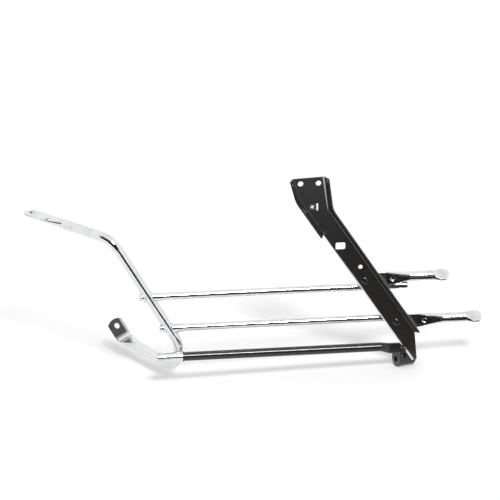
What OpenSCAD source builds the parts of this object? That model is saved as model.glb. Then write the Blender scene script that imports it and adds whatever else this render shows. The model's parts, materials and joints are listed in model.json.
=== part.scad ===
// Saddlebag guard for a motorcycle: a bent tube hoop, two cross rods and a black bar, carried by a
// pressed channel bracket and two short stays. Millimetres, +Z up, X along the rods.
// The origin is midway between the bracket's two top bolt holes, on the front face of its web.
// Everything is placed from there: the guard lies behind the web, its arms reach on towards +Y.

/* [Tube] */
// Outside diameter of the hoop and stay tube
tube_d = 16; // [15:0.5:18]
// Wall of the hoop and stay tube
tube_wall = 2; // [1.2:0.1:2.2]
// Centreline radius of the hoop's two tight bends
tight_bend = 32; // [26:1:38]
// Centreline radius of the easy bend above the lower turn
easy_bend = 45; // [30:1:60]

/* [Hoop] */
// How far the hoop's lower turn stands left of the bolt holes
hoop_reach = 211; // [190:1:240]
// How far the lower arm's centreline lies below the bolt holes
arm_drop = 310; // [300:1:320]
// Height of the upper corner above the lower arm
hoop_rise = 226; // [210:1:250]
// Lean of the diagonal from upright, in degrees
hoop_lean = 30.6; // [20:0.2:38]
// Straight left between the two lower bends
turn_gap = 2; // [1:1:10]
// Turn of the upper arm away from the rods, in degrees
upper_turn = 52; // [40:1:65]
// Upper corner to the bolt hole in the upper tab
upper_arm = 181; // [165:1:200]
// Turn of the lower arm away from the rods, in degrees
lower_turn = 66; // [50:1:80]
// Lower corner to the fold of the lower tab
lower_arm = 162; // [150:1:190]
// Roll of the lower tab about its arm, in degrees
tab_roll = 20; // [0:1:35]
// Fold of the lower tab out of its arm, in degrees
tab_fold = 57; // [30:1:80]
// Flat metal of the upper tab before its bolt hole
tab_flat = 34; // [30:1:40]

/* [Pressed ends] */
// Width of the hoop's pressed tabs
tab_w = 27; // [24:0.5:30]
// Width of the stays' pressed ends
blade_w = 24; // [21:0.5:25]
// Length over which a tube goes from round to flat
press_l = 40; // [32:1:46]
// Radius of the pressed tabs' rounded tips
tip_r = 19; // [15:0.5:24]
// Tab metal beyond the bolt hole
tip_margin = 12; // [10:0.5:15]
// Bolt hole in the hoop's tabs
tab_hole_d = 9.5; // [8:0.5:11]
// Fold of the lower tab to its bolt hole
fold_to_hole = 20; // [16:1:26]
// Inside radius of the lower tab's fold
fold_r = 5; // [3:0.5:8]
// Drain hole beside each pressed end
drain_d = 5.5; // [3:0.5:6]
// Countersink of the stays' drain holes
drain_sink_d = 9; // [7:0.5:11]

/* [Rods and bar] */
// Diameter of the two cross rods
rod_d = 12; // [10:0.5:13]
// Rod left standing out beyond the hoop
rod_stub = 6.5; // [3:0.5:9]
// Diameter of the collars
collar_d = 14; // [13.5:0.5:16]
// Length of the collars from the hoop's centreline
collar_l = 22; // [18:1:32]
// Height of the lower rod over its stay's centreline
rod_lift = 4.5; // [3:0.5:5.5]
// Weld gap between the upper rod and its stay
rod_gap = 1; // [1:0.1:1.8]
// Outside diameter of the black bar
bar_d = 14.5; // [13:0.5:16]
// Wall of the black bar
bar_wall = 2; // [1:0.1:2.1]
// Height of the black bar over the lower arm
bar_rise = 27; // [26:1:29]
// Outside diameter of the bar's socket
socket_d = 15.5; // [15:0.5:17]
// Length of the bar's socket
socket_l = 40; // [36:1:50]
// Share of the socket standing out left of the hoop's lower turn
socket_left = 35; // [31:1:36]
// Length of the socket's spigot inside the bar
spigot_l = 18; // [10:1:25]
// Gap between spigot and bar
spigot_gap = 0.1; // [0.05:0.01:0.2]
// Width of the rubber ring between socket and bar
ring_w = 1.6; // [1:0.1:3]
// Height of the bar's pressed right end
bar_blade_w = 17.5; // [16:0.5:19]
// Length over which the bar goes from round to flat
bar_press_l = 14; // [10:1:20]
// Length of the bar's flat end along its centreline
bar_flat_l = 20; // [16:1:24]
// Drop of the bar's flat end
bar_blade_drop = 5; // [3:0.5:5.5]

/* [Bracket] */
// Thickness of the bracket sheet
web_t = 2.5; // [2:0.1:3]
// Spacing of the two top bolt holes
bolt_pitch = 29; // [27:0.5:31]
// Diameter of the two top bolt holes
bolt_hole_d = 9; // [7:0.5:10]
// Web above the bolt holes
web_over = 9.5; // [8:0.5:12]
// Slope of the bracket's top edge, in degrees
top_slope = 2.2; // [0:0.2:4]
// Width of the bracket's top edge
web_top_w = 52.5; // [50:0.5:56]
// Width of the web along its slanting run
web_w = 32; // [31:0.5:36]
// Slant of the bracket's long run from upright, in degrees
web_slant = 33.2; // [32:0.2:34.5]
// Slant of the top part's left edge
left_slant = 15; // [10:1:18]
// Slant of the top part's right edge
right_slant = 7.5; // [5:0.5:10]
// Depth below the holes at which the left edge turns
left_turn_z = 25; // [22:1:28]
// Radius of the bend in the left edge
left_bend = 60; // [40:1:80]
// Radius of the bend in the right edge
right_bend = 30; // [22:1:40]
// Depth of the flanges in front of the web
flange_h = 14; // [10:0.5:17]
// Splay of the flanges from square, in degrees
flange_splay = 22; // [10:1:28]
// Inside radius between web and flange
flange_r = 2; // [1:0.5:3]
// Depth at which the left flange stops
left_flange_z = 87; // [80:1:95]
// Depth at which the right flange stops
right_flange_z = 261; // [250:1:264]
// How far the web's lower tip stands above the foot's bore
tip_up = 2.5; // [0:0.5:5]

/* [Bracket holes] */
// Width of the nut window
window_w = 15; // [14:0.5:17]
// Height of the nut window
window_h = 12.4; // [11:0.2:14]
// Depth of the nut window below the bolt holes
window_z = 40.3; // [38:0.5:43]
// Width of the strap slot
slot_w = 15.8; // [12:0.2:17]
// Height of the strap slot
slot_h = 12; // [9:0.5:13]
// Corner radius of the strap slot
slot_r = 2.5; // [1:0.5:4]
// Depth of the strap slot below the bolt holes
slot_z = 108.5; // [104:0.5:112]
// Diameter of the side hole
side_hole_d = 7.2; // [6:0.2:9]
// Depth of the side hole below the bolt holes
side_hole_z = 146; // [142:0.5:149]
// Diameter of the pressed dimple by the side hole
dimple_d = 11; // [10:0.5:13]
// Thread hole through the caged nut
nut_hole_d = 5.3; // [4:0.1:6]
// Side of the caged nut
nut_w = 11; // [10:0.5:11.5]
// Thickness of the caged nut
nut_t = 5; // [4:0.5:7]
// Sheet of the nut's cage
cage_t = 0.8; // [0.6:0.1:1.5]
// Play of the nut in its cage
cage_gap = 0.3; // [0.2:0.1:0.5]

/* [Stays] */
// Depth of the upper stay below the bolt holes
upper_stay_z = 169.5; // [167:0.5:172]
// Depth of the lower stay below the bolt holes
lower_stay_z = 243.5; // [242:0.5:245]
// Upper stay from its rivet to its right end
upper_stay_l = 138; // [125:1:150]
// Lower stay from its rivet to its right end
lower_stay_l = 140; // [128:1:150]
// Length of the stays' right-hand press
end_press_l = 12; // [8:1:18]
// Length of the stays' flat right end
end_blade_l = 15; // [12:1:18]
// Turn of the stays' right end from upright, in degrees
end_turn = 62; // [45:1:75]
// Flat of the stays' left end right of the rivet
blade_flat_l = 36; // [32:1:42]
// Upper rod's end right of the upper rivet
upper_rod_past = 72; // [60:1:75]
// Lower rod's end right of the lower rivet
lower_rod_past = 22; // [18:1:26]

/* [Rivets] */
// Head diameter of the stays' rivets
rivet_head_d = 12.5; // [11:0.5:14]
// Height of the rivet heads
rivet_head_h = 2.6; // [2:0.1:3.4]
// Shank diameter of the rivets
rivet_d = 7; // [5:0.5:8]
// Hollow in the rivets' heads
rivet_eye_d = 4.5; // [3:0.5:4.5]

/* [Foot] */
// Length of the foot boss
foot_l = 30; // [26:1:34]
// Width of the foot boss
foot_w = 24; // [20:1:26]
// Turn of the foot boss from the rods, in degrees
foot_turn = 22; // [18:1:26]
// Foot's bore
foot_hole_d = 9; // [7:0.5:11]
// Depth of the foot's bore below the bolt holes
foot_z = 312; // [310:0.5:314]
// Foot metal above its bore
foot_top = 12.5; // [12:0.1:12.8]
// How far the foot's front corner stands left of the web
foot_left = 21; // [18:0.5:24]
// Diameter of the foot's plated pin
pin_d = 6.6; // [5:0.2:7]
// Length of the foot's plated pin
pin_l = 26; // [22:1:30]
// Radius of the weld beads
bead_r = 2; // [1.2:0.2:2.4]

/* [Hidden] */
$fn = 48;
eps = 0.01;
// share of a press over which the tube is still open inside
hollow = 0.8;
// how far a press reaches into its tube and its flat, and how much smaller it is there
lap = 0.5;
hair = 0.26;
chrome = [0.82, 0.83, 0.85];
black = [0.06, 0.06, 0.065];
zinc = [0.7, 0.7, 0.68];
X = [1, 0, 0];
Y = [0, 1, 0];
Z = [0, 0, 1];

// depths behind the web
blade_t = 2 * tube_wall;
blade_y = web_t + blade_t / 2;
stay_y = web_t + tube_d / 2;
guard_y = web_t + blade_t + rod_d / 2;
// the socket stands against the hoop's lower bend, which is a hair thicker than the tube
bar_y = guard_y - (tube_d + hair + socket_d) / 2;

// the hoop's corners, and the flat left between the lower press and its fold
fold_flat = 3;
lower_arm_z = -arm_drop;
bar_z = lower_arm_z + bar_rise;
turn_z = lower_arm_z + tight_bend + turn_gap + easy_bend * tan(hoop_lean / 2);
upper_z = lower_arm_z + hoop_rise;
upper_way = [-cos(upper_turn), sin(upper_turn), 0];
lower_way = [-cos(lower_turn), sin(lower_turn), 0];
diagonal = [-sin(hoop_lean), 0, cos(hoop_lean)];
lower_corner = [-hoop_reach, guard_y, lower_arm_z];
turn_corner = [-hoop_reach, guard_y, turn_z];
upper_corner = turn_corner + diagonal * (upper_z - turn_z) / cos(hoop_lean);
upper_hole = upper_corner + upper_way * upper_arm;
upper_press = upper_corner + upper_way * (upper_arm - tab_flat - press_l);
lower_fold = lower_corner + lower_way * lower_arm;
lower_press = lower_corner + lower_way * (lower_arm - press_l - fold_flat);

// the bracket's edges
web_drop = foot_z - tip_up;
run_way = [sin(web_slant), -cos(web_slant)];
run_out = [cos(web_slant), sin(web_slant)];
top_left = [-web_top_w / 2 - 1.5, web_over - 1];
top_right = top_left + web_top_w * [cos(top_slope), sin(top_slope)];
left_corner = [top_left[0] + (top_left[1] + left_turn_z) * tan(left_slant), -left_turn_z];
right_corner = meet(top_right, [sin(right_slant), -cos(right_slant)],
                    left_corner + web_w * run_out, run_way);

top_way_l = unit(left_corner - top_left);
top_way_r = unit(right_corner - top_right);
left_back = left_bend * tan(acos(top_way_l * run_way) / 2);
right_back = right_bend * tan(acos(top_way_r * run_way) / 2);
left_stop = [left_edge_x(-left_flange_z), -left_flange_z];
right_stop = right_corner + run_way * (right_corner[1] + right_flange_z) / cos(web_slant);
tip_left = [left_edge_x(-web_drop), -web_drop];
// how far in from the sharp edge the web is still flat, with a little to overlap
flat_in = (flange_r + web_t) * tan((90 - flange_splay) / 2) + 2;
// how far web and flanges run on above the top edge before they are cut off along it
top_over = 12;
// from the web's left tip to its lower edge, and the notch beside the right flange's end
tip_step = [8, 1.5];
right_notch = [2, 3];

// the bracket's holes, and how far each stands right of the middle of the run
run_half = web_w / 2 / cos(web_slant);
window_right = -3.8;
slot_right = -4.6;
side_hole_right = 3.6;
window_x = left_edge_x(-window_z) + run_half + window_right;
slot_x = left_edge_x(-slot_z) + run_half + slot_right;
side_hole_x = left_edge_x(-side_hole_z) + run_half + side_hole_right;
// the nut stands near the window's left side, its front just behind the web's front
nut_y = 0.5;
nut_x = window_x - (window_w - nut_w) / 2 + nut_y;
// depth of the dimple from the web's front, and how far the cage's lips reach
dimple_at = 0.8;
cage_lip = 3;

// the bar's socket, and the bar's left end
socket_x = -hoop_reach - socket_left;
bar_x = socket_x + socket_l + ring_w;

// rods, stays and rivets
stay_tip_r = 0.55 * blade_w;
stay_end_r = 0.75 * tip_r;
upper_stay_at = -upper_stay_z;
lower_stay_at = -lower_stay_z;
upper_rivet_x = left_edge_x(upper_stay_at) + blade_w / 2 + 2.5;
lower_rivet_x = left_edge_x(lower_stay_at) + blade_w / 2 + 6;
rod_under = sqrt(pow((tube_d + rod_d) / 2, 2) - pow(guard_y - stay_y, 2)) + rod_gap;
upper_rod_z = upper_stay_at - rod_under;
lower_rod_z = lower_stay_at + rod_lift;

// the foot boss
foot_way = [cos(foot_turn), sin(foot_turn), 0];
foot_side = [-sin(foot_turn), cos(foot_turn), 0];
foot_corner = [left_edge_x(-foot_z) - foot_left, web_t, -foot_z];
foot_top_z = -foot_z + foot_top;

function unit(v) = v / norm(v);
// the direction to the right of a way in the web's plane, looking down it from the top
function square_to(way) = [-way[1], way[0]];
function upright(v) = abs(v * Z) > 0.9 * norm(v) ? Y : Z;
// where the line from p along u crosses the line from q along v, in a plane
function meet(p, u, q, v) =
    p + u * ((q[0] - p[0]) * v[1] - (q[1] - p[1]) * v[0]) / (u[0] * v[1] - u[1] * v[0]);
// the bracket's slanting left edge at a height
function left_edge_x(z) = left_corner[0] + (left_corner[1] - z) * tan(web_slant);
// the hoop's diagonal at a height
function diagonal_x(z) = -hoop_reach - (z - turn_z) * tan(hoop_lean);
// children with their local X and Z turned to the given directions
module placed(at, x, z) {
    y = cross(z, x);
    multmatrix([[x[0], y[0], z[0], at[0]], [x[1], y[1], z[1], at[1]],
                [x[2], y[2], z[2], at[2]], [0, 0, 0, 1]])
        children();
}

module bar_between(p, q, d) {
    way = unit(q - p);
    placed(p, unit(cross(upright(way), way)), way) cylinder(h = norm(q - p), d = d);
}

// a bend at a corner, tangent to both directions
module bend(corner, way_in, way_out, r, d) {
    turn = acos(way_in * way_out);
    inward = unit(way_out - way_in * (way_in * way_out));
    centre = corner - way_in * r * tan(turn / 2) + inward * r;
    placed(centre, -inward, cross(way_in, inward))
        rotate_extrude(angle = turn, $fn = 96) translate([r, 0]) circle(d = d);
}

// a bent bar through the corners, each with its bend radius
module run(corners, radii, d) {
    last = len(corners) - 1;
    ways = [for (i = [0 : last - 1]) unit(corners[i + 1] - corners[i])];
    back = [for (i = [0 : last])
        i == 0 || i == last ? 0 : radii[i] * tan(acos(ways[i - 1] * ways[i]) / 2)];
    // the straights reach a little into the bends, which are a hair thicker
    ends = [for (b = back) max(b - lap, 0)];
    for (i = [0 : last - 1])
        bar_between(corners[i] + ways[i] * ends[i], corners[i + 1] - ways[i] * ends[i + 1], d);
    for (i = [1 : last - 1]) bend(corners[i], ways[i - 1], ways[i], radii[i], d + hair);
}

// cross-section of a pressed-flat tube: two walls together with round edges
module flat_section(w, t) {
    polygon([for (side = [1, -1], i = [-6 : 6])
        side * [(w - t) / 2 + t / 2 * cos(i * 15), t / 2 * sin(i * 15)]]);
}

// a length of flat with its tip rounded; local Z along it, X across it
module blade(w, t, l, tip) {
    intersection() {
        linear_extrude(l) flat_section(w, t);
        translate([0, t, 0]) rotate([90, 0, 0]) linear_extrude(2 * t) {
            translate([-w, -1]) square([2 * w, l - tip + 1]);
            translate([0, l - tip]) circle(r = tip);
        }
    }
}

// the outside between a round tube and a flat that is shifted by off; local Z along it
module press_form(d, w, t, l, off = [0, 0]) {
    hull() {
        translate([0, 0, -lap]) cylinder(h = lap, d = d - hair, $fn = 32);
        translate([off[0], off[1], l]) linear_extrude(lap) flat_section(w - hair, t - hair);
    }
}

// the space left inside a press, down to a closed slit
module press_cavity(d, wall, w, l, off = [0, 0]) {
    hull() {
        translate([0, 0, -lap]) cylinder(h = lap, d = d - 2 * wall - hair, $fn = 32);
        translate([off[0] * hollow, off[1] * hollow, l * hollow])
            linear_extrude(hair) square([w - 3 * wall, 0.4], center = true);
    }
}

// a hole from the middle of a tube out through one side of it
module drain(p, way, d) {
    bar_between(p, p + unit(way) * tube_d, d);
}

module hoop_corners(d) {
    run([upper_press, upper_corner, turn_corner, lower_corner, lower_press],
        [0, tight_bend, easy_bend, tight_bend, 0], d);
}

module hoop_tube() {
    side = cross(Z, lower_way);
    tab_x = side * -cos(tab_roll) + Z * sin(tab_roll);
    tab_up = unit(cross(tab_x, lower_way));
    tab_way = lower_way * cos(tab_fold) + tab_up * sin(tab_fold);
    fold_centre = lower_fold + tab_up * (fold_r + blade_t / 2);
    tab_start = fold_centre - unit(cross(tab_x, tab_way)) * (fold_r + blade_t / 2);
    lower_hole = tab_start + tab_way * fold_to_hole;
    color(chrome) difference() {
        union() {
            hoop_corners(tube_d);
            placed(upper_press, cross(Z, upper_way), upper_way) {
                press_form(tube_d, tab_w, blade_t, press_l);
                translate([0, 0, press_l])
                    blade(tab_w, blade_t, tab_flat + tip_margin, tip_r);
            }
            placed(lower_press, tab_x, lower_way) {
                press_form(tube_d, tab_w, blade_t, press_l);
                translate([0, 0, press_l]) linear_extrude(fold_flat) flat_section(tab_w, blade_t);
            }
            placed(fold_centre, -tab_up, tab_x)
                rotate_extrude(angle = tab_fold, $fn = 96)
                    translate([fold_r + blade_t / 2, 0]) rotate(90) flat_section(tab_w, blade_t);
            placed(tab_start, tab_x, tab_way)
                blade(tab_w, blade_t, fold_to_hole + tip_margin, tip_r);
        }
        hoop_corners(tube_d - 2 * tube_wall);
        placed(upper_press, cross(Z, upper_way), upper_way)
            press_cavity(tube_d, tube_wall, tab_w, press_l);
        placed(lower_press, tab_x, lower_way) press_cavity(tube_d, tube_wall, tab_w, press_l);
        placed(upper_hole, X, Z) cylinder(h = 4 * blade_t, d = tab_hole_d, center = true);
        placed(lower_hole, tab_x, unit(cross(tab_x, tab_way)))
            cylinder(h = 4 * blade_t, d = tab_hole_d, center = true);
        for (z = [upper_rod_z, lower_rod_z])
            bar_between([diagonal_x(z) - tube_d * 2, guard_y, z],
                        [diagonal_x(z) + tube_d * 2, guard_y, z], rod_d);
        drain(upper_press + upper_way * press_l * 0.8, cross(upper_way, Z) * -1 + Z * 0.3, drain_d);
        drain(lower_press + lower_way * press_l * 0.7, tab_up * -0.6 - tab_x, drain_d);
    }
}

// a cross rod with domed ends, from its stub beyond the hoop to x_end
module cross_rod(z, x_end) {
    x_start = diagonal_x(z) - tube_d / 2 / cos(hoop_lean) - rod_stub;
    dome = rod_d / 4;
    color(chrome) placed([x_start, guard_y, z], Z, X) {
        translate([0, 0, dome]) cylinder(h = x_end - x_start - 2 * dome, d = rod_d);
        translate([0, 0, dome]) end_dome(dome);
        translate([0, 0, x_end - x_start - dome]) mirror([0, 0, 1]) end_dome(dome);
    }
}

// a rounded bar end of the given height, below local Z = 0
module end_dome(h) {
    rotate_extrude() intersection() {
        translate([rod_d / 2 - h, 0]) circle(r = h);
        translate([0, -h]) square([rod_d, h]);
    }
    translate([0, 0, -h]) cylinder(h = h, d = rod_d - 2 * h);
}

module upper_rod() cross_rod(upper_rod_z, upper_rivet_x + upper_rod_past);

module lower_rod() cross_rod(lower_rod_z, lower_rivet_x + lower_rod_past);

// a sleeve on the rod, its left end cut round the hoop
module collar(z) {
    at = [diagonal_x(z), guard_y, z];
    color(chrome) difference() {
        bar_between(at, at + X * collar_l, collar_d);
        bar_between(at - X, at + X * (collar_l + 1), rod_d);
        bar_between(at - diagonal * 3 * tube_d, at + diagonal * 3 * tube_d, tube_d);
    }
}

module upper_collar() collar(upper_rod_z);

module lower_collar() collar(lower_rod_z);

module bar_socket() {
    color(chrome) placed([socket_x, bar_y, bar_z], Z, X) {
        difference() {
            union() {
                cylinder(h = socket_l, d = socket_d);
                translate([0, 0, socket_l])
                    cylinder(h = ring_w + spigot_l, d = bar_d - 2 * bar_wall - 2 * spigot_gap);
            }
            translate([0, 0, -eps]) cylinder(h = 3, d1 = socket_d - 4, d2 = socket_d - 8);
        }
    }
}

module bar_ring() {
    color(black) placed([socket_x + socket_l, bar_y, bar_z], Z, X) difference() {
        cylinder(h = ring_w, d = socket_d + 0.8);
        translate([0, 0, -eps])
            cylinder(h = ring_w + 2 * eps, d = bar_d - 2 * bar_wall - 2 * spigot_gap);
    }
}

// the space right of the bracket's slanting left edge
module past_left_edge() {
    placed([left_corner[0], -50, left_corner[1]], [run_way[0], 0, run_way[1]], Y)
        translate([0, -100, 0]) cube([2 * web_drop, 100, 100]);
}

module guard_bar() {
    flat_x = left_edge_x(bar_z) - bar_flat_l;
    round_l = flat_x - bar_press_l - bar_x;
    shift = [-bar_blade_drop, bar_y - web_t / 2];
    color(black) difference() {
        placed([bar_x, bar_y, bar_z], Z, X) difference() {
            union() {
                cylinder(h = round_l, d = bar_d);
                translate([0, 0, round_l])
                    press_form(bar_d, bar_blade_w, 2 * bar_wall, bar_press_l, shift);
                translate([shift[0], shift[1], round_l + bar_press_l])
                    linear_extrude(2 * bar_flat_l) flat_section(bar_blade_w, 2 * bar_wall);
            }
            translate([0, 0, -1]) cylinder(h = round_l + 1, d = bar_d - 2 * bar_wall);
            translate([0, 0, round_l]) press_cavity(bar_d, bar_wall, bar_blade_w, bar_press_l, shift);
        }
        past_left_edge();
    }
}

// the flange's cross-section, grown by g: u outwards from the web's edge, v forward of its back
module flange_section(g = 0) {
    outer = flange_r + web_t;
    lean = 90 - flange_splay;
    middle = [-outer * tan(lean / 2), outer];
    way = [sin(flange_splay), cos(flange_splay)];
    tip = way * flange_h / cos(flange_splay);
    polygon(concat(
        [[middle[0] - 4, web_t + g], [middle[0] - 4, -g]],
        [for (i = [0 : 6]) middle + (outer + g) * [sin(lean * i / 6), -cos(lean * i / 6)]],
        [tip + g * [way[1], -way[0]], tip - (web_t + g) * [way[1], -way[0]]],
        [for (i = [6 : -1 : 0]) middle + (flange_r - g) * [sin(lean * i / 6), -cos(lean * i / 6)]]
    ));
}

// a straight flange on the web's edge from p for length l, standing out to the side n
module flange_run(p, n, l) {
    placed([p[0], web_t, p[1]], [n[0], 0, n[1]], [n[1], 0, -n[0]])
        linear_extrude(l) flange_section();
}

// the bent stretch between two straight flanges, on the outside or the inside of the bend
module flange_bend(corner, way_in, way_out, r, outside) {
    turn = acos(way_in * way_out);
    inward = unit(way_out - way_in * (way_in * way_out));
    centre = corner - way_in * r * tan(turn / 2) + inward * r;
    placed([centre[0], web_t, centre[1]], [-inward[0], 0, -inward[1]], -Y)
        rotate_extrude(angle = turn, $fn = 96)
            translate([r, 0]) mirror([outside ? 0 : 1, 0]) flange_section(hair / 2);
}

// the point where a corner's edges meet when both are moved to the right by the same distance
function moved_corner(corner, way_in, way_out, by) =
    meet(corner + by * square_to(way_in), way_in, corner + by * square_to(way_out), way_out);

// the flat web, left back from the edges wherever a flange's own flat strip takes over
module web_outline() {
    polygon([
        top_left + flat_in * square_to(top_way_l) - top_over * top_way_l,
        moved_corner(left_corner, top_way_l, run_way, flat_in),
        left_stop + flat_in * run_out + run_way, left_stop + run_way,
        tip_left, tip_left + tip_step, right_stop - right_notch, right_stop - flat_in * run_out,
        moved_corner(right_corner, top_way_r, run_way, -flat_in),
        top_right - flat_in * square_to(top_way_r) - top_over * top_way_r
    ]);
}

module rounded_hole(w, h, r) {
    polygon([for (turn = [0 : 3], i = [0 : 6])
        let (x = turn == 0 || turn == 3 ? 1 : -1, y = turn < 2 ? 1 : -1, a = turn * 90 + i * 15)
        [x * (w / 2 - r) + r * cos(a), y * (h / 2 - r) + r * sin(a)]]);
}

module through_web(d, x, z) {
    translate([x, 0, z]) rotate([90, 0, 0]) cylinder(h = 6 * web_t, d = d, center = true);
}

module channel_bracket() {
    color(black) difference() {
        union() {
            translate([0, web_t, 0]) rotate([90, 0, 0]) linear_extrude(web_t) web_outline();
            flange_run(left_corner - top_way_l * (left_back - lap), -square_to(top_way_l),
                       norm(left_corner - top_left) - left_back + top_over + lap);
            flange_bend(left_corner, top_way_l, run_way, left_bend, true);
            flange_run(left_stop, -square_to(run_way), norm(left_stop - left_corner) - left_back + lap);
            flange_run(top_right - top_over * top_way_r, square_to(top_way_r),
                       norm(right_corner - top_right) - right_back + top_over + lap);
            flange_bend(right_corner, top_way_r, run_way, right_bend, false);
            flange_run(right_corner + run_way * (right_back - lap), square_to(run_way),
                       norm(right_stop - right_corner) - right_back + lap);
        }
        placed([top_left[0], 0, top_left[1]], [cos(top_slope), 0, sin(top_slope)], -Y)
            translate([-web_top_w, 0, -20]) cube([3 * web_top_w, 2 * top_over, 60]);
        for (side = [-1, 1]) through_web(bolt_hole_d, side * bolt_pitch / 2, 0);
        translate([window_x, 3 * web_t, -window_z]) rotate([90, 0, 0])
            linear_extrude(6 * web_t) rounded_hole(window_w, window_h, 0.6);
        translate([slot_x, 3 * web_t, -slot_z]) rotate([90, 0, 0])
            linear_extrude(6 * web_t) rounded_hole(slot_w, slot_h, slot_r);
        through_web(side_hole_d, side_hole_x, -side_hole_z);
        translate([side_hole_x, dimple_at, -side_hole_z]) rotate([90, 0, 0])
            cylinder(h = web_t, d = dimple_d);
        through_web(rivet_d, upper_rivet_x, upper_stay_at);
        through_web(rivet_d, lower_rivet_x, lower_stay_at);
    }
}

// a square nut with its thread hole
module caged_nut() {
    color(zinc) translate([nut_x, 0, -window_z]) difference() {
        translate([-nut_w / 2, nut_y, -nut_w / 2]) cube([nut_w, nut_t, nut_w]);
        rotate([90, 0, 0]) cylinder(h = 4 * nut_t, d = nut_hole_d, center = true);
    }
}

// a sheet cage that holds the nut against the back of the web
module nut_cage() {
    inner = nut_w + 2 * cage_gap;
    outer = inner + 2 * cage_t;
    depth = nut_y + nut_t - web_t;
    color(black) translate([nut_x, web_t, -window_z]) difference() {
        union() {
            translate([-outer / 2, 0, -outer / 2]) cube([outer, depth + cage_t, outer]);
            translate([-outer / 2, 0, -outer / 2 - cage_lip])
                cube([outer, cage_t, outer + 2 * cage_lip]);
        }
        translate([-inner / 2, -1, -inner / 2]) cube([inner, 1 + depth, inner]);
        rotate([90, 0, 0]) cylinder(h = 6 * nut_t, d = nut_hole_d + 2, center = true);
    }
}

// a stay: a round tube pressed flat upright at its left end and near level at its right
module stay(z, rivet_x, l) {
    tube_in = [0, blade_y - stay_y, 0];
    off = [0, stay_y - blade_y];
    round_from = blade_flat_l + press_l;
    round_to = l - end_blade_l - end_press_l;
    color(chrome) placed([rivet_x, blade_y, z], Z, X) difference() {
        union() {
            translate([0, 0, blade_flat_l]) mirror([0, 0, 1])
                blade(blade_w, blade_t, blade_flat_l + blade_w / 2, stay_tip_r);
            translate([0, 0, round_from] + tube_in) {
                mirror([0, 0, 1]) press_form(tube_d, blade_w, blade_t, press_l, off);
                cylinder(h = round_to - round_from, d = tube_d);
            }
            translate([0, 0, round_to] + tube_in) rotate([0, 0, -end_turn]) {
                press_form(tube_d, blade_w, blade_t, end_press_l);
                translate([0, 0, end_press_l]) blade(blade_w, blade_t, end_blade_l, stay_end_r);
            }
        }
        translate([0, 0, round_from] + tube_in) {
            mirror([0, 0, 1]) press_cavity(tube_d, tube_wall, blade_w, press_l, off);
            cylinder(h = round_to - round_from, d = tube_d - 2 * tube_wall);
        }
        rotate([90, 0, 0]) cylinder(h = 4 * blade_t, d = rivet_d, center = true);
        translate([0, 0, blade_flat_l + press_l / 4]) rotate([-90, 0, 0]) {
            cylinder(h = tube_d, d = drain_d);
            translate([0, 0, blade_t / 2 - 1.2])
                cylinder(h = 1.2 + eps, d1 = drain_d, d2 = drain_sink_d);
        }
    }
}

module upper_stay() stay(upper_stay_at, upper_rivet_x, upper_stay_l);

module lower_stay() stay(lower_stay_at, lower_rivet_x, lower_stay_l);

// low round heads in front of the web, the shanks set flush in the back of the stays
module stay_rivets() {
    crown = (pow(rivet_head_d / 2, 2) + pow(rivet_head_h, 2)) / (2 * rivet_head_h);
    color(black) for (at = [[upper_rivet_x, 0, upper_stay_at], [lower_rivet_x, 0, lower_stay_at]])
        translate(at) rotate([90, 0, 0]) {
            translate([0, 0, -web_t - blade_t]) cylinder(h = web_t + blade_t, d = rivet_d);
            rotate_extrude() difference() {
                intersection() {
                    translate([0, rivet_head_h - crown]) circle(r = crown, $fn = 96);
                    square([rivet_head_d, rivet_head_h]);
                }
                translate([-1, rivet_head_h - 1.2]) square([1 + rivet_eye_d / 2, 2]);
            }
        }
}

// a boss with an eye along it, its round side down, and a rib that lies on the web's back
module foot_boss() {
    r = foot_w / 2;
    rib_x = left_edge_x(foot_top_z) - 3;
    rib_end = foot_corner[0] + foot_l * 0.8;
    rib_h = foot_top - 3.5;
    color(black) difference() {
        union() {
            placed(foot_corner, foot_side, foot_way) linear_extrude(foot_l)
                polygon(concat([[foot_w, foot_top], [0, foot_top]],
                               [for (i = [0 : 24]) [r - r * cos(i * 7.5), -r * sin(i * 7.5)]]));
            translate([0, 0, foot_top_z - rib_h]) linear_extrude(rib_h) polygon([
                [rib_x, web_t], [rib_end, web_t],
                [rib_end, web_t + 1.5 + (rib_end - foot_corner[0]) * tan(foot_turn)],
                [rib_x, web_t + 1.5 + (rib_x - foot_corner[0]) * tan(foot_turn)]]);
        }
        placed(foot_corner + foot_side * r - foot_way, foot_side, foot_way)
            cylinder(h = 2 * foot_l, d = foot_hole_d);
    }
}

// a plated pin that lies on the boss, just clear of the bar's flat end
module foot_pin() {
    at = [foot_corner[0] - 0.3, web_t / 2 + bar_wall + 0.1 + pin_d / 2 / cos(foot_turn),
          foot_top_z + pin_d / 2];
    color(zinc) bar_between(at, at + foot_way * pin_l, pin_d);
}

// a bead all round where a bar starting at p meets a tube along way through p
module saddle_bead(p, q, d, way, tube) {
    difference() {
        intersection() {
            bar_between(p, q, d + 1.7 * bead_r);
            bar_between(p - way * 2 * tube, p + way * 2 * tube, tube + 2 * bead_r);
        }
        bar_between(p - (q - p), q + (q - p), d);
        bar_between(p - way * 3 * tube, p + way * 3 * tube, tube);
    }
}

module stub_welds() {
    color(chrome) for (z = [upper_rod_z, lower_rod_z])
        saddle_bead([diagonal_x(z), guard_y, z], [diagonal_x(z) - 3 * tube_d, guard_y, z],
                    rod_d, diagonal, tube_d);
}

module collar_welds() {
    color(chrome) for (z = [upper_rod_z, lower_rod_z])
        saddle_bead([diagonal_x(z), guard_y, z], [diagonal_x(z) + 3 * tube_d, guard_y, z],
                    collar_d, diagonal, tube_d);
}

module turn_tube(d) {
    bend(lower_corner, -Z, lower_way, tight_bend, d);
    bar_between(lower_corner + Z * tight_bend, lower_corner + Z * (tight_bend + turn_gap), d);
}

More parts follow.
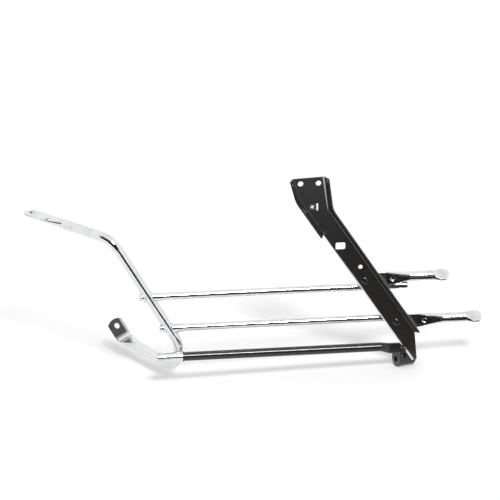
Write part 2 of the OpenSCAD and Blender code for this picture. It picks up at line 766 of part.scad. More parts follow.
module socket_weld() {
    color(chrome) difference() {
        intersection() {
            placed([socket_x, bar_y, bar_z], Z, X) cylinder(h = socket_l, d = socket_d + 2 * bead_r);
            turn_tube(tube_d + 2 * bead_r);
        }
        placed([socket_x, bar_y, bar_z], Z, X) cylinder(h = socket_l, d = socket_d);
        turn_tube(tube_d + hair);
    }
}

// fillets along the rods where they lie against the stays' flat ends
module stay_welds() {
    upper_from = upper_rivet_x - blade_w / 4;
    color(chrome) {
        difference() {
            bar_between([upper_from, blade_y + blade_t, upper_stay_at - blade_w / 2],
                        [upper_from + blade_flat_l, blade_y + blade_t, upper_stay_at - blade_w / 2],
                        2.4 * bead_r);
            stay_slab(upper_stay_at, upper_from - 1, blade_flat_l + 2);
            bar_between([upper_from - 1, guard_y, upper_rod_z],
                        [upper_from + blade_flat_l + 1, guard_y, upper_rod_z], rod_d);
        }
        for (side = [-1, 1]) difference() {
            bar_between([lower_rivet_x - 4, web_t + blade_t, lower_rod_z + side * rod_d * 0.4],
                        [lower_rivet_x + 16, web_t + blade_t, lower_rod_z + side * rod_d * 0.4],
                        2 * bead_r);
            stay_slab(lower_stay_at, lower_rivet_x - 5, 22);
            bar_between([lower_rivet_x - 5, guard_y, lower_rod_z],
                        [lower_rivet_x + 17, guard_y, lower_rod_z], rod_d);
        }
    }
}

// the flat end of a stay as a plain slab, for welds to lie on
module stay_slab(z, x, l) {
    translate([x, blade_y, z]) rotate([90, 0, 90]) linear_extrude(l)
        rotate(90) flat_section(blade_w, blade_t);
}

// the bar's flat end as a plain slab that stops at the web's edge
module bar_slab() {
    difference() {
        translate([left_edge_x(bar_z) - bar_flat_l, web_t / 2 - bar_wall,
                   bar_z - bar_blade_drop - bar_blade_w / 2])
            cube([2 * bar_flat_l, 2 * bar_wall, bar_blade_w]);
        past_left_edge();
    }
}

// a bead down the front of the joint between the bar's flat end and the web's edge
module bar_weld() {
    mid_z = bar_z - bar_blade_drop;
    reach = bar_blade_w / 2 - bar_wall - bead_r;
    top_at = [left_edge_x(mid_z + reach), web_t / 2 - bar_wall, mid_z + reach];
    low_at = [left_edge_x(mid_z - reach), web_t / 2 - bar_wall, mid_z - reach];
    color(black) difference() {
        bar_between(top_at, low_at, 2.4 * bead_r);
        bar_slab();
        translate([top_at[0] - 50, 0, low_at[2] - 50]) cube([100, 50, 100]);
    }
}

// a bead in the corner between the web's edge and the foot's rib behind it
module foot_weld() {
    low_z = foot_top_z - foot_top + 4.5;
    top_z = foot_top_z - 1;
    color(black) difference() {
        bar_between([left_edge_x(low_z), web_t, low_z], [left_edge_x(top_z), web_t, top_z],
                    1.8 * bead_r);
        past_left_edge();
        translate([left_edge_x(low_z) - 50, web_t, low_z - 50]) cube([100, 50, 100]);
    }
}

hoop_tube();
upper_rod();
lower_rod();
upper_collar();
lower_collar();
bar_socket();
bar_ring();
guard_bar();
channel_bracket();
caged_nut();
nut_cage();
upper_stay();
lower_stay();
stay_rivets();
foot_boss();
foot_pin();
stub_welds();
collar_welds();
socket_weld();
stay_welds();
bar_weld();
foot_weld();
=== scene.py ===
"""The saddlebag guard as photographed: chromed tubes, a gloss black bracket, their welds and wear."""
import json
import math

import bpy
import numpy as np
from mathutils import Matrix, Vector


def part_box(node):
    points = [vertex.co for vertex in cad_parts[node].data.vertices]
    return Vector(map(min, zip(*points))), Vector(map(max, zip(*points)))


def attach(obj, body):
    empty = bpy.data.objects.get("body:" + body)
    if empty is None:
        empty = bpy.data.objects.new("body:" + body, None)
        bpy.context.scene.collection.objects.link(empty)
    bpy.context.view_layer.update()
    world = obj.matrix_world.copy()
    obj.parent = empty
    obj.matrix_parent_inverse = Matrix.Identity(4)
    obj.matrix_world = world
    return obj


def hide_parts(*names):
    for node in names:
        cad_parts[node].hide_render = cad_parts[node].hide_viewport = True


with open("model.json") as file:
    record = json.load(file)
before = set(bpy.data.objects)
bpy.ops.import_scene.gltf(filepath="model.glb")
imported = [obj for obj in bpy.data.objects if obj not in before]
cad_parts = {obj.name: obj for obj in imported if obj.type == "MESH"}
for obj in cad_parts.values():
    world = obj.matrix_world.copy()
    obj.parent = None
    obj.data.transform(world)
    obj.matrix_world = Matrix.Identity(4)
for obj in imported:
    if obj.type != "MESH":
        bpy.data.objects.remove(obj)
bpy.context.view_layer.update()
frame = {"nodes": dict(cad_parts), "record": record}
nodes = frame["nodes"]
MM = 0.001
UPRIGHT = Vector((0, 0, 1))


# Camera: how wide a view it takes in, its lens, the point in its middle and its directions

FRAME_W = 800 * MM
LENS = 600
SENSOR = 36
SEES_TO = 100
MIDDLE = Vector((-96.1, 0, -107.5)) * MM
RIGHT = Vector((0.9903, -0.1392, 0))
UP = Vector((0.0476, 0.3387, 0.9397))
BACK = Vector((-0.1308, -0.9306, 0.3420))


def set_camera():
    """A very long lens, for an almost parallel view, from the left and 20 degrees above."""
    data = bpy.data.cameras.new("camera")
    data.lens = LENS
    data.sensor_width = SENSOR
    data.clip_end = SEES_TO
    camera = bpy.data.objects.new("camera", data)
    distance = FRAME_W * LENS / SENSOR
    turn = Matrix((RIGHT, UP, BACK)).transposed().to_4x4()
    camera.matrix_world = Matrix.Translation(MIDDLE + BACK * distance) @ turn
    bpy.context.collection.objects.link(camera)
    bpy.context.scene.camera = camera


# Node helpers

def new_material(name):
    """A material with no nodes yet, and its node tree."""
    material = bpy.data.materials.new(name)
    material.use_nodes = True
    tree = material.node_tree
    tree.nodes.clear()
    return material, tree


def add(tree, kind, inputs=None, **settings):
    """Adds a node, sets its attributes and fills its inputs with values or other nodes' outputs."""
    node = tree.nodes.new(kind)
    for key, value in settings.items():
        setattr(node, key, value)
    for key, value in (inputs or {}).items():
        if isinstance(value, bpy.types.NodeSocket):
            tree.links.new(value, node.inputs[key])
        else:
            node.inputs[key].default_value = value
    return node


def place(tree):
    """The object's own coordinates, in metres."""
    return add(tree, "ShaderNodeTexCoord").outputs["Object"]


def noise(tree, vector, scale, detail=4, rough=0.55):
    """Smooth noise from 0 to 1, with about scale lumps to a metre."""
    return add(
        tree, "ShaderNodeTexNoise",
        {"Vector": vector, "Scale": scale, "Detail": detail, "Roughness": rough},
    ).outputs["Fac"]


def ramp(tree, value, low, high, out_low=0.0, out_high=1.0):
    """A straight ramp of a value between two limits."""
    return add(
        tree, "ShaderNodeMapRange",
        {"Value": value, "From Min": low, "From Max": high, "To Min": out_low, "To Max": out_high},
    ).outputs["Result"]


def patches(tree, vector, scale, detail, begin, full, rough=0.55):
    """Noise cut into patches: 0 where it lies below begin, 1 where it lies above full."""
    return ramp(tree, noise(tree, vector, scale, detail, rough), begin, full)


def arithmetic(tree, how, a, b=0.0):
    """One sum of two values, as Blender names it."""
    return add(tree, "ShaderNodeMath", {0: a, 1: b}, operation=how).outputs["Value"]


def times(tree, a, b):
    """a times b."""
    return arithmetic(tree, "MULTIPLY", a, b)


def plus(tree, a, b):
    """a plus b."""
    return arithmetic(tree, "ADD", a, b)


def minus(tree, a, b):
    """a less b."""
    return arithmetic(tree, "SUBTRACT", a, b)


def larger(tree, a, b):
    """The larger of a and b."""
    return arithmetic(tree, "MAXIMUM", a, b)


def split(tree, vector):
    """The X, Y and Z of a vector, by name."""
    return add(tree, "ShaderNodeSeparateXYZ", {"Vector": vector}).outputs


def of_vectors(tree, how, a, b=None):
    """One sum of two vectors, as Blender names it: a vector, or a value where it gives one."""
    node = add(tree, "ShaderNodeVectorMath", {0: a} if b is None else {0: a, 1: b}, operation=how)
    return node.outputs["Vector" if how == "SUBTRACT" else "Value"]


def mixed(tree, share, a, b):
    """Colour a where share is 0 and b where it is 1."""
    node = add(tree, "ShaderNodeMix", data_type="RGBA")
    for key, value in ((0, share), (6, a), (7, b)):
        if isinstance(value, bpy.types.NodeSocket):
            tree.links.new(value, node.inputs[key])
        else:
            node.inputs[key].default_value = value
    return node.outputs[2]


def grey(level, warm=0.0):
    """A grey that holds more red and less blue by the share warm."""
    return (level * (1 + warm), level, level * (1 - warm), 1)


def stretched(tree, vector, scales):
    """The coordinates scaled along each axis, for streaks and brush lines."""
    return add(tree, "ShaderNodeMapping", {"Vector": vector, "Scale": scales}).outputs["Vector"]


COAT_ROUGHNESS = 0.06


def surface(tree, colour, metallic, roughness, bump=None, height=0.0, coat=0.0):
    """The shader of every finish, with an optional bump of the given height in metres."""
    inputs = {"Base Color": colour, "Metallic": metallic, "Roughness": roughness}
    if bump is not None:
        inputs["Normal"] = add(
            tree, "ShaderNodeBump", {"Height": bump, "Distance": height, "Strength": 1.0}
        ).outputs["Normal"]
    shader = add(tree, "ShaderNodeBsdfPrincipled", inputs)
    shader.inputs["Coat Weight"].default_value = coat
    shader.inputs["Coat Roughness"].default_value = COAT_ROUGHNESS
    out = add(tree, "ShaderNodeOutputMaterial")
    tree.links.new(shader.outputs["BSDF"], out.inputs["Surface"])


# Finishes

CHROME = grey(0.86, -0.012)
CHROME_CLOUD = grey(0.42, 0.03)
CHROME_PIT = grey(0.12, 0.06)
# Painted shade for the folded tab
TAB_PAINTED_SHADE = grey(0.085, 0.01)
BLACK = grey(0.012, 0.12)
BLACK_DUSTY = grey(0.019, 0.10)
BLACK_SCUFFED = grey(0.10, 0.03)
# Painted sheen on the web's top part
WEB_SHEEN_GREY = grey(0.036, -0.02)
# Painted highlight in the right fold
FOLD_BRIGHT = grey(0.55, 0.01)
# Painted highlight along the left edge, and the colour of chips worn to bare steel
PALE_EDGE_AND_BARE_STEEL = grey(0.85, 0.01)
ZINC = grey(0.78, 0.02)
ZINC_CLOUD = grey(0.52, 0.08)
RUBBER_DARK = grey(0.012)
RUBBER_GREY = grey(0.035)

# How deep the bumps of each finish are
CHROME_BUMP = 0.12 * MM
PAINT_BUMP = 0.06 * MM
ZINC_BUMP = 0.06 * MM
RUBBER_BUMP = 0.1 * MM
PAINT_COAT = 0.35
RUBBER_ROUGHNESS = 0.75


def worn_chrome(name, clouding=0.5, streaks=(1, 1, 1), dull=0.0, shade=None):
    """Old bright chrome: clouded in patches, with fine pits and rubbed streaks.

    clouding is how strong the clouds are, streaks stretches the rubbing along each axis, dull is added
    to the roughness, and shade gives the places that get painted shade.
    """
    material, tree = new_material(name)
    at = place(tree)
    cloud = patches(tree, at, scale=38, detail=5, begin=0.50, full=0.72)
    pits = patches(tree, at, scale=1500, detail=2, begin=0.66, full=0.74)
    rubbed = patches(tree, stretched(tree, at, streaks), scale=260, detail=4, begin=0.42, full=0.70)
    tint = mixed(tree, times(tree, cloud, clouding), CHROME, CHROME_CLOUD)
    tint = mixed(tree, times(tree, pits, 0.7), tint, CHROME_PIT)
    # painted shade: the chrome's colour is darkened where the shade mask is 1
    if shade is not None:
        tint = mixed(tree, shade(tree, at), tint, TAB_PAINTED_SHADE)
    rough = plus(tree, ramp(tree, cloud, 0, 1, 0.07 + dull, 0.24 + dull),
                 times(tree, rubbed, 0.10 + dull))
    bump = plus(tree, noise(tree, at, scale=160, detail=3), times(tree, rubbed, 0.3))
    surface(tree, tint, 1.0, rough, bump, CHROME_BUMP)
    return material


# The folded tab: the arm's turn from the rods, the tab's roll and fold, its width, and how far before
# its hole the painted shade begins and is full

ARM_TURN = math.radians(66)
TAB_ROLL = math.radians(20)
TAB_FOLD = math.radians(57)
TAB_W = 27 * MM
SHADE_FROM = -21 * MM
SHADE_FULL = -15 * MM


def tab_directions():
    """The folded tab's long way and its width, from the arm's turn and the tab's roll and fold."""
    arm = Vector((-math.cos(ARM_TURN), math.sin(ARM_TURN), 0))
    side = UPRIGHT.cross(arm)
    wide = side * -math.cos(TAB_ROLL) + UPRIGHT * math.sin(TAB_ROLL)
    up = wide.cross(arm).normalized()
    return arm * math.cos(TAB_FOLD) + up * math.sin(TAB_FOLD), wide


def tab_shade(tree, at):
    """1 on the folded tab's painted shade, fading to its bright right edge and the bright bend below it.
    """
    hole = Vector(next(m["pos_m"] for m in frame["record"]["mounts"] if m["name"] == "lower_tab"))
    long_way, wide = tab_directions()
    offset = of_vectors(tree, "SUBTRACT", at, hole)
    along = of_vectors(tree, "DOT_PRODUCT", offset, long_way)
    across = of_vectors(tree, "DOT_PRODUCT", offset, wide)
    away = of_vectors(tree, "LENGTH", offset)
    near = ramp(tree, away, 1.6 * TAB_W, 1.8 * TAB_W, 1, 0)
    body = times(tree, ramp(tree, along, SHADE_FROM, SHADE_FULL), near)
    return times(tree, body, ramp(tree, across, TAB_W * 0.30, TAB_W * 0.36, 1, 0.35))


def gloss_black(name, wear=None, shine=None, painted_sheen=None):
    """Gloss black paint with a faint warm tint, orange peel, dust and scuffs.

    wear gives the painted highlight along the left edge and the chips worn to bare steel, shine the
    painted highlight in the fold, and the last mask the painted greyer sheen of the web.
    """
    material, tree = new_material(name)
    at = place(tree)
    dust = patches(tree, at, scale=90, detail=6, begin=0.52, full=0.80, rough=0.7)
    scuff = patches(tree, stretched(tree, at, (1, 1, 0.25)), scale=420, detail=4,
                    begin=0.63, full=0.72, rough=0.7)
    tint = mixed(tree, times(tree, dust, 0.5), BLACK, BLACK_DUSTY)
    tint = mixed(tree, times(tree, scuff, 0.2), tint, BLACK_SCUFFED)
    rough = ramp(tree, dust, 0, 1, 0.20, 0.42)
    metal = 0.0
    # painted sheen: the web's top part is given a greyer colour
    if painted_sheen is not None:
        tint = mixed(tree, painted_sheen(tree, at), tint, WEB_SHEEN_GREY)
    # painted highlight: the inside of the right fold is given a bright colour
    if shine is not None:
        tint = mixed(tree, shine(tree, at), tint, FOLD_BRIGHT)
    # painted highlight along the left edge, and random chips of real wear, in a pale steel colour
    if wear is not None:
        bare = wear(tree, at)
        tint = mixed(tree, bare, tint, PALE_EDGE_AND_BARE_STEEL)
        rough = plus(tree, rough, times(tree, bare, 0.18))
        metal = times(tree, bare, 0.2)
    orange_peel = noise(tree, at, scale=120, detail=3)
    surface(tree, tint, metal, rough, orange_peel, PAINT_BUMP, coat=PAINT_COAT)
    return material


def bright_zinc(name):
    """Satin zinc plate with fine turning lines and a yellowish cloud."""
    material, tree = new_material(name)
    at = place(tree)
    lines = noise(tree, stretched(tree, at, (6, 1, 1)), scale=500, detail=4)
    tint = mixed(tree, patches(tree, at, scale=120, detail=4, begin=0.4, full=0.7), ZINC, ZINC_CLOUD)
    surface(tree, tint, 1.0, ramp(tree, lines, 0.3, 0.7, 0.22, 0.42), lines, ZINC_BUMP)
    return material


def dull_rubber(name):
    """Matt black rubber with a fine grain."""
    material, tree = new_material(name)
    grain = noise(tree, place(tree), scale=900, detail=4)
    tint = mixed(tree, grain, RUBBER_DARK, RUBBER_GREY)
    surface(tree, tint, 0.0, RUBBER_ROUGHNESS, grain, RUBBER_BUMP)
    return material


# The bracket's edges, for the painted highlights along them: a point on each edge and its slant from
# upright

EDGE_TOP = Vector((-18.4, 0, -25)) * MM
EDGE_SLANT = math.radians(33.2)
SIDE_TOP = Vector((24.7, 0, 10.5)) * MM
SIDE_SLANT = math.radians(7.5)
RUN_W = 32 * MM
FOLD_IN = 2.4 * MM

# Painted highlight down the left edge: a thin strip that widens by HALF_WAY, and wide near the foot
EDGE_LIGHT_BELOW = -88 * MM
HALF_WAY = -170 * MM
EDGE_WIDE_BELOW = -276 * MM
EDGE_LIGHT_W = 0.35 * MM
HALF_WAY_W = 1.1 * MM
EDGE_WIDE_W = 2.0 * MM
SOFT_EDGE = 0.15 * MM

# Painted highlight in the right fold: a tapering strip on the top part, and a hairline on the run below
# it
STRIP_TOP_W = 1.3 * MM
STRIP_END_W = 0.2 * MM
HAIRLINE_W = 0.1 * MM
HAIRLINE_FADE = 0.6 * MM


def from_line(tree, parts, point, slant):
    """How far to the right of a slanting line in the bracket's plane a place lies."""
    across = times(tree, minus(tree, parts["X"], point.x), math.cos(slant))
    down = times(tree, minus(tree, parts["Z"], point.z), math.sin(slant))
    return plus(tree, across, down)


def edge_highlight_and_chips(tree, at):
    """1 on a ragged painted highlight beside the left edge, thin at first, wide at the foot, and on worn
    chips.
    """
    parts = split(tree, at)
    inside = from_line(tree, parts, EDGE_TOP, EDGE_SLANT)
    low = ramp(tree, parts["Z"], EDGE_WIDE_BELOW, EDGE_WIDE_BELOW - 14 * MM)
    width = larger(tree, ramp(tree, low, 0, 1, EDGE_LIGHT_W, EDGE_WIDE_W),
                   ramp(tree, parts["Z"], EDGE_LIGHT_BELOW, HALF_WAY, EDGE_LIGHT_W, HALF_WAY_W))
    ragged = times(tree, noise(tree, at, scale=260, detail=5, rough=0.7), width)
    past = minus(tree, inside, plus(tree, width, ragged))
    strip = ramp(tree, past, -SOFT_EDGE, SOFT_EDGE, 1, 0)
    along = larger(tree, ramp(tree, parts["Z"], EDGE_LIGHT_BELOW, EDGE_LIGHT_BELOW - 90 * MM, 0, 0.85),
                   ramp(tree, parts["Z"], EDGE_LIGHT_BELOW, EDGE_LIGHT_BELOW - 5 * MM, 0, 0.3))
    chips = ramp(tree, noise(tree, at, scale=330, detail=3, rough=0.7), 0.72, 0.76, 0, 0.25)
    return larger(tree, times(tree, strip, along), chips)


def fold_shine(tree, at):
    """1 on the painted highlight inside the right fold: a strip that tapers down the top part, and a
    hairline that fades down the run."""
    parts = split(tree, at)
    side = plus(tree, from_line(tree, parts, SIDE_TOP, SIDE_SLANT), FOLD_IN)
    width = ramp(tree, parts["Z"], 8 * MM, -60 * MM, STRIP_TOP_W, STRIP_END_W)
    strip = minus(tree, arithmetic(tree, "ABSOLUTE", side), width)
    strip = ramp(tree, strip, -0.2 * MM, 0.2 * MM, 1, 0)
    strip = times(tree, strip, ramp(tree, parts["Z"], -50 * MM, -40 * MM, 0, 0.75))
    run = minus(tree, from_line(tree, parts, EDGE_TOP, EDGE_SLANT), RUN_W - FOLD_IN)
    hairline = ramp(tree, arithmetic(tree, "ABSOLUTE", run), HAIRLINE_W, HAIRLINE_FADE, 0.32, 0)
    hairline = times(tree, hairline, ramp(tree, parts["Z"], -52 * MM, -46 * MM, 1, 0))
    hairline = times(tree, hairline, ramp(tree, parts["Z"], -190 * MM, -90 * MM, 0.3, 1))
    in_fold = ramp(tree, parts["Y"], -4 * MM, -3 * MM)
    return times(tree, larger(tree, strip, hairline), in_fold)


def web_painted_sheen(tree, at):
    """The painted greyer sheen of the web's top part, fading down the run; the flanges stay black."""
    parts = split(tree, at)
    down = ramp(tree, parts["Z"], -120 * MM, -10 * MM, 0.25, 1)
    return times(tree, down, ramp(tree, parts["Y"], -2.5 * MM, -0.8 * MM))


# Welds, threads and other formed pieces

def round_path(path, radii, around=14, closed=False):
    """A skin round a path, and its faces.

    Ring i is a circle of radius radii[i] round path point i, square to the path's direction there. Open
    ends close to a point on the path.
    """
    path = np.asarray(path, float)
    along = np.roll(path, -1, 0) - np.roll(path, 1, 0) if closed else np.gradient(path, axis=0)
    along /= np.linalg.norm(along, axis=1)[:, None]
    if closed:
        hint = path.mean(0) - path
    else:
        hint = np.where(np.abs(along[:, :1]) < 0.8, [[1.0, 0, 0]], [[0, 0, 1.0]])
    side = np.cross(along, hint)
    side /= np.linalg.norm(side, axis=1)[:, None]
    other = np.cross(along, side)
    turn = np.linspace(0, 2 * math.pi, around, endpoint=False)
    ring = np.cos(turn)[None, :, None] * side[:, None] + np.sin(turn)[None, :, None] * other[:, None]
    skin = (path[:, None] + ring * np.asarray(radii)[:, None, None]).reshape(-1, 3)

    count = len(path)
    rows = np.arange(count if closed else count - 1)[:, None]
    next_rows = (rows + 1) % count
    cols = np.arange(around)[None]
    next_cols = (cols + 1) % around
    quads = np.stack([rows * around + cols, rows * around + next_cols,
                      next_rows * around + next_cols, next_rows * around + cols], -1).reshape(-1, 4)
    if closed:
        return skin, [quads]
    first, last, far = len(skin), len(skin) + 1, (count - 1) * around
    start_cap = np.stack([np.full(around, first), next_cols[0], cols[0]], 1)
    end_cap = np.stack([np.full(around, last), far + cols[0], far + next_cols[0]], 1)
    return np.vstack([skin, path[:1], path[-1:]]), [quads, start_cap, end_cap]


def piece(name, parts, material, node=None):
    """One mesh from several skins, riding on the guard, and standing for a node if it replaces one."""
    points, faces, base = [], [], 0
    for skin, sides in parts:
        points.append(skin)
        for kind in sides:
            faces += (kind + base).tolist()
        base += len(skin)
    mesh = bpy.data.meshes.new(name)
    mesh.from_pydata(np.vstack(points).tolist(), [], faces)
    mesh.polygons.foreach_set("use_smooth", np.ones(len(faces), bool))
    mesh.update()
    mesh.materials.append(material)
    made = bpy.data.objects.new(name, mesh)
    bpy.context.collection.objects.link(made)
    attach(made, "root")
    if node:
        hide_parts(node)


RIPPLE_DEPTH = 0.14
SWELL = 0.05
SWELL_OVER = 5


def smoothed(values, over):
    """The running mean of values over a number of neighbours."""
    return np.convolve(values, np.ones(over) / over, "same")


def ripples(count, size, each, seed):
    """Bead radii along a weld: size, less the bare size of a sine that dips once in each rings, with a
    little random swell."""
    step = np.arange(count)
    swell = smoothed(np.random.default_rng(seed).normal(0, SWELL, count), SWELL_OVER)
    return size * (1 - RIPPLE_DEPTH * np.abs(np.sin(math.pi * step / each)) + swell)


# The hoop's leaning leg, whose centreline is HOOP_REACH left of the origin at height TURN_Z, and the bars
# that meet it
HOOP_LEAN = math.radians(30.6)
HOOP_R = 8 * MM
HOOP_REACH = 211 * MM
TURN_Z = -263.69 * MM
ROD_R = 6 * MM
COLLAR_R = 7 * MM
BEAD = 1.7 * MM
SADDLE_RINGS = 120
SADDLE_RIPPLE = 6


def rod_axis(name):
    """(Y, Z) of a rod's centreline, from the frame."""
    low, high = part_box(name)
    return (low[1] + high[1]) / 2, (low[2] + high[2]) / 2


def saddle(name, r, side, seed):
    """The closed seam where a round bar of radius r meets the hoop: a circle round the bar, moved along
    it to where each point is one hoop radius from the hoop's leaning centreline; side is -1 or 1."""
    y, z = rod_axis(name)
    a = np.linspace(0, 2 * math.pi, SADDLE_RINGS, endpoint=False)
    dy, dz = r * np.cos(a), r * np.sin(a)
    reach = np.sqrt(np.maximum(HOOP_R ** 2 - dy ** 2, 0))
    dx = (side * reach - dz * math.sin(HOOP_LEAN)) / math.cos(HOOP_LEAN)
    x = -HOOP_REACH - (z - TURN_Z) * math.tan(HOOP_LEAN)
    seam = np.stack([x + dx, y + dy, z + dz], 1)
    return round_path(seam, ripples(SADDLE_RINGS, BEAD, SADDLE_RIPPLE, seed), closed=True)


# The rough weld at the right end of the black bar
BAR_BEAD = 2.0 * MM
BAR_BEAD_RINGS = 60
BAR_BEAD_RIPPLE = 5
BAR_BEAD_IN = 2.2 * MM
BAR_BEAD_FROM = 12 * MM
BAR_BEAD_TO = 2.6 * MM
BAR_BEAD_SHORT = 2 * MM
WANDER = 0.12
WANDER_OVER = 7


def straight_bead(start, end, size, seed, rings):
    """A run of weld along the line from start to end, wandering a little, that swells at each end."""
    share = np.linspace(0, 1, rings)[:, None]
    wander = np.random.default_rng(seed + 50).normal(0, WANDER * size, (rings, 3))
    wander = np.stack([smoothed(wander[:, k], WANDER_OVER) for k in range(3)], 1)
    path = np.array(start) * (1 - share) + np.array(end) * share + wander
    grow = np.minimum(1, np.minimum(np.arange(rings), np.arange(rings)[::-1]) / 5 + 0.15)
    return round_path(path, ripples(rings, size, BAR_BEAD_RIPPLE, seed) * grow)


def add_welds(chrome_weld, black_weld):
    """Rippled beads in place of the plain ones round the rods, and one along the bar's own weld."""
    stubs = [saddle("upper_rod", ROD_R, -1, 1), saddle("lower_rod", ROD_R, -1, 2)]
    piece("stub_weld_beads", stubs, chrome_weld, "stub_welds")
    collars = [saddle("upper_rod", COLLAR_R, 1, 3), saddle("lower_rod", COLLAR_R, 1, 4)]
    piece("collar_weld_beads", collars, chrome_weld, "collar_welds")
    low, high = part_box("bar_weld")
    y = low[1] + BAR_BEAD_IN
    start = (high[0] - BAR_BEAD_FROM, y, high[2] - BAR_BEAD_SHORT)
    end = (high[0] - BAR_BEAD_TO, y, low[2] + BAR_BEAD_SHORT)
    piece("bar_weld_bead", [straight_bead(start, end, BAR_BEAD, 7, BAR_BEAD_RINGS)],
          black_weld)


THREAD_PITCH = 1.0 * MM
THREAD_TURNS = 4
THREAD_R = 2.62 * MM
THREAD_RIDGE = 0.22 * MM
THREAD_START = 0.5 * MM
STEPS_A_TURN = 28


def nut_thread(material):
    """The nut's thread: a six-sided ridge along a helix in its bore, one pitch to a turn."""
    low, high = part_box("caged_nut")
    middle = [(low[k] + high[k]) / 2 for k in range(3)]
    a = np.linspace(0, 2 * math.pi * THREAD_TURNS, THREAD_TURNS * STEPS_A_TURN)
    path = np.stack([middle[0] + THREAD_R * np.cos(a),
                     low[1] + THREAD_START + THREAD_PITCH * a / (2 * math.pi),
                     middle[2] + THREAD_R * np.sin(a)], 1)
    piece("nut_thread", [round_path(path, np.full(len(a), THREAD_RIDGE), 6)], material)


# Stage

FLOOR_TILT = math.radians(2.5)
FLOOR_HALF = 12
FLOOR_GAP = 0.3 * MM
FLOOR_WHITE = grey(0.94), grey(0.97)
FLOOR_MOTTLE = 3
SHEET_LIFT = 0.12

# The white sheet ends in front of the part, further off at the left. Bright metal mirrors a dark room
# past that edge, and a dark band low in front of the part.
SHEET_EDGE = -170 * MM
SHEET_SKEW = 0.6
EDGE_FADE = 20 * MM
ROOM_RIGHT = 420 * MM
ROOM_FADE = 80 * MM
ROOM_SPREAD = 0.45
ROOM_HIGH = 0.62
ROOM_LEVEL = 0.015

WHITE = grey(1.0)
WALLS = grey(0.95)
SKY = grey(0.62)

LAMP_FROM = Vector((0.1, -1.1, 1))
LAMP_STRENGTH = 1.75
LAMP_SPREAD = math.radians(12)


def glow(tree, strength):
    """White light of the given strength."""
    return add(tree, "ShaderNodeEmission", {"Color": WHITE, "Strength": strength}).outputs["Emission"]


def add_floor():
    """A pale sheet, tilted a little. The camera sees it lifted towards white, and bright metal sees a
    dark room past its front edge."""
    mesh = bpy.data.meshes.new("floor")
    corners = [(-FLOOR_HALF, -FLOOR_HALF, 0), (FLOOR_HALF, -FLOOR_HALF, 0),
               (FLOOR_HALF, FLOOR_HALF, 0), (-FLOOR_HALF, FLOOR_HALF, 0)]
    mesh.from_pydata(corners, [], [(0, 1, 2, 3)])
    floor = bpy.data.objects.new("floor", mesh)
    bpy.context.collection.objects.link(floor)
    low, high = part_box("foot_boss")
    under = Matrix.Translation(((low[0] + high[0]) / 2, 0, low[2] - FLOOR_GAP))
    floor.matrix_world = under @ Matrix.Rotation(-FLOOR_TILT, 4, "Y")

    material, tree = new_material("floor_white")
    spot = add(tree, "ShaderNodeNewGeometry").outputs["Position"]
    parts = split(tree, spot)
    rays = add(tree, "ShaderNodeLightPath").outputs
    pale = mixed(tree, noise(tree, spot, FLOOR_MOTTLE, 3), *FLOOR_WHITE)
    sheet = add(tree, "ShaderNodeBsdfDiffuse", {"Color": pale}).outputs["BSDF"]
    lift = glow(tree, times(tree, rays["Is Camera Ray"], SHEET_LIFT))
    lit = add(tree, "ShaderNodeAddShader", {0: sheet, 1: lift}).outputs["Shader"]
    edge = plus(tree, SHEET_EDGE, times(tree, parts["X"], SHEET_SKEW))
    past = ramp(tree, minus(tree, edge, parts["Y"]), -EDGE_FADE, EDGE_FADE)
    past = times(tree, past, ramp(tree, parts["X"], ROOM_RIGHT, ROOM_RIGHT + ROOM_FADE, 1, 0))
    mirrored = times(tree, past, rays["Is Glossy Ray"])
    shader = add(tree, "ShaderNodeMixShader", {0: mirrored, 1: lit, 2: glow(tree, ROOM_LEVEL)})
    out = add(tree, "ShaderNodeOutputMaterial")
    tree.links.new(shader.outputs["Shader"], out.inputs["Surface"])
    mesh.materials.append(material)


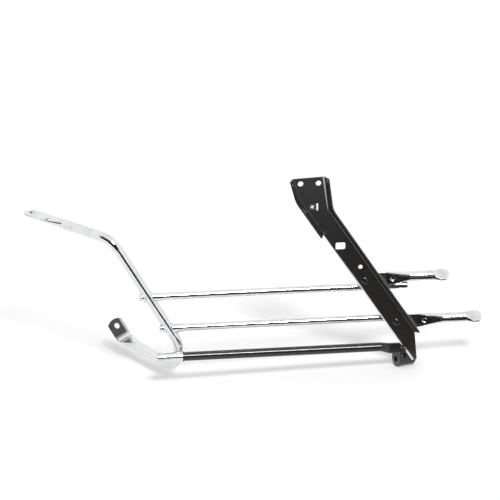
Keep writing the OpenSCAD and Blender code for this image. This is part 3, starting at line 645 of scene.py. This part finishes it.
def light_world():
    """A world that is white to the camera and pale to the part, and in which bright metal sees white
    walls and a dark low band in front."""
    world = bpy.data.worlds.new("world")
    bpy.context.scene.world = world
    world.use_nodes = True
    tree = world.node_tree
    tree.nodes.clear()
    way = split(tree, add(tree, "ShaderNodeTexCoord").outputs["Generated"])
    low = ramp(tree, way["Z"], ROOM_HIGH, ROOM_HIGH + 0.1, 1, 0)
    front = ramp(tree, way["Y"], -0.1, 0.0, 1, 0)
    beside = plus(tree, way["X"], times(tree, way["Y"], ROOM_SPREAD))
    dark = times(tree, times(tree, low, front), ramp(tree, beside, 0, 0.1, 1, 0))
    rays = add(tree, "ShaderNodeLightPath").outputs
    mirrored = mixed(tree, dark, WALLS, grey(ROOM_LEVEL))
    plain = mixed(tree, rays["Is Glossy Ray"], SKY, mirrored)
    colour = mixed(tree, rays["Is Camera Ray"], plain, WHITE)
    back = add(tree, "ShaderNodeBackground", {"Color": colour, "Strength": 1.0})
    out = add(tree, "ShaderNodeOutputWorld")
    tree.links.new(back.outputs["Background"], out.inputs["Surface"])


def add_lamp():
    """A soft sun from the front and above."""
    data = bpy.data.lights.new("top", "SUN")
    data.energy = LAMP_STRENGTH
    data.angle = LAMP_SPREAD
    sun = bpy.data.objects.new("top", data)
    sun.rotation_mode = "QUATERNION"
    sun.rotation_quaternion = LAMP_FROM.to_track_quat("Z", "Y")
    bpy.context.collection.objects.link(sun)


# Assembly

def dress():
    """Gives every node its finish, and adds the welds and the nut's thread."""
    chrome = worn_chrome("chrome_tube", clouding=0.35, shade=tab_shade)
    rod = worn_chrome("chrome_rod", clouding=0.25, streaks=(0.2, 1, 1))
    stay = worn_chrome("chrome_stay", clouding=0.6, streaks=(0.3, 1, 1), dull=0.03)
    socket = worn_chrome("chrome_socket", clouding=1.0, dull=0.05)
    weld = worn_chrome("chrome_weld", clouding=0.8, dull=0.12)
    paint = gloss_black("black_gloss")
    bracket = gloss_black("black_bracket", edge_highlight_and_chips, fold_shine, web_painted_sheen)
    finishes = {
        "hoop_tube": chrome, "upper_rod": rod, "lower_rod": rod,
        "upper_collar": rod, "lower_collar": rod,
        "upper_stay": stay, "lower_stay": stay, "bar_socket": socket, "socket_weld": weld,
        "stay_welds": weld, "stub_welds": weld, "collar_welds": weld, "guard_bar": paint,
        "channel_bracket": bracket, "nut_cage": paint, "stay_rivets": paint, "foot_boss": paint,
        "bar_weld": paint, "foot_weld": paint, "caged_nut": bright_zinc("zinc"),
        "foot_pin": bright_zinc("zinc_pin"), "bar_ring": dull_rubber("rubber"),
    }
    for name, material in finishes.items():
        slots = nodes[name].data.materials
        if not slots:
            slots.append(material)
        for k in range(len(slots)):
            slots[k] = material
    add_welds(weld, gloss_black("black_weld"))
    # this name belongs to the frame's own plain zinc colour, which the thread keeps
    nut_thread(bpy.data.materials["zinc"])


bpy.context.scene.view_settings.view_transform = "Standard"
set_camera()
add_floor()
light_world()
add_lamp()
dress()
